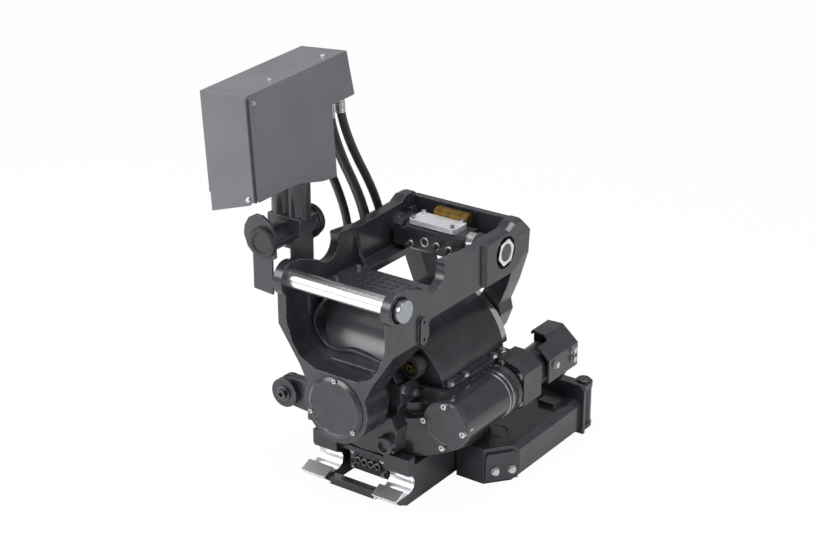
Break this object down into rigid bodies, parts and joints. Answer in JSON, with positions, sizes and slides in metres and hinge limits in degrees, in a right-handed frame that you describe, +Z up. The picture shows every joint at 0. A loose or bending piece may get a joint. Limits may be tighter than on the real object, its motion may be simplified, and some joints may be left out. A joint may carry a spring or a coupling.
{
  "type": "tilt rotator",
  "caption": "Excavator tilt rotator with pin-on top frame, fore and aft tilt axis, worm-driven slewing coupler, valve box and side gripper cassette.",
  "frame": {"origin": "middle of the upper front pin, between the two side plates", "axes": "+X along the upper front pin towards the worm gear side, +Y aft to the upper rear pin, +Z up"},
  "size_m": [0.5973, 0.8765, 1.0607],
  "materials": {
    "bright_steel": "polished",
    "grey_steel": "machined",
    "zinc_steel": "zinc plated",
    "bare_aluminium": "milled",
    "brass": "dull",
    "hose_rubber": "matte",
    "box_grey": "satin powder coat",
    "black_plastic": "matte",
    "black_rubber": "matte",
    "dark_iron": "satin",
    "black_paint": "satin black paint over cast and cut steel"
  },
  "bodies": {
    "machine_frame": {"tilt_frame": "black_paint", "upper_front_pin": "bright_steel", "upper_rear_pin": "grey_steel", "rear_pin_nut": "grey_steel", "front_pin_keeper": "grey_steel", "tilt_shaft": "bright_steel", "front_tilt_cover": "black_paint", "rear_tilt_cover": "black_paint", "perforated_plate": "black_paint", "connection_block": "black_paint", "oil_port_sleeves": "zinc_steel", "connection_block_lid": "bare_aluminium", "brass_cartridge": "brass", "pin_collars": "bright_steel", "pin_spacers": "black_paint", "carrier_bracket": "black_paint", "bracket_bolts": "zinc_steel", "front_hub_cap": "black_plastic", "rear_hub": "black_rubber", "valve_carrier": "black_paint", "box_side_panel": "box_grey", "box_cover": "box_grey", "box_screws": "zinc_steel", "box_floor_sheet": "box_grey", "valve_block": "dark_iron", "frame_cap_screws": "zinc_steel", "hose_1": "hose_rubber", "hose_2": "hose_rubber", "hose_3": "hose_rubber", "hose_4": "hose_rubber", "hose_fittings": "zinc_steel"},
    "tilting_housing": {"rotator_housing": "black_paint", "actuator_hood": "black_paint", "hood_rim": "bright_steel", "worm_end_cap": "black_paint", "worm_flange": "dark_iron", "hydraulic_motor": "dark_iron", "motor_guard": "black_paint", "ribbed_cap": "black_plastic", "cap_insert": "brass", "small_side_plate": "black_paint", "lug_plug": "zinc_steel", "bearing_retainer": "black_paint", "housing_hex_bolts": "zinc_steel", "housing_cap_screws": "zinc_steel"},
    "quick_coupler": {"slew_ring": "bright_steel", "coupler_frame": "black_paint", "lock_cylinder": "black_paint", "port_block": "black_paint", "port_couplings": "zinc_steel", "port_rim_plate": "black_paint", "port_plate_screws": "zinc_steel", "cassette_shell": "black_paint", "cassette_corner_plate": "black_paint", "cassette_bolts": "zinc_steel", "cassette_plug": "black_paint", "cassette_end_plate": "black_paint", "gripper_pin": "bright_steel"},
    "locking_bars": {"lock_bars": "bright_steel"},
    "gripper": {"gripper_arm": "black_paint"}
  },
  "joints": [
    {"name": "tilt", "type": "hinge", "parent": "machine_frame", "child": "tilting_housing", "pos_m": [0, 0.285, -0.29], "axis": [0, 1, 0], "range_deg": [-40, 40]},
    {"name": "rotate", "type": "hinge", "parent": "tilting_housing", "child": "quick_coupler", "pos_m": [0, 0.285, -0.46], "axis": [0, 0, 1], "continuous": true},
    {"name": "lock", "type": "slide", "parent": "quick_coupler", "child": "locking_bars", "axis": [0, 1, 0], "range_m": [-0.04, 0]},
    {"name": "grip", "type": "hinge", "parent": "quick_coupler", "child": "gripper", "pos_m": [0.268, 0.69, -0.5], "axis": [0, 0, 1], "range_deg": [-110, 0]}
  ]
}
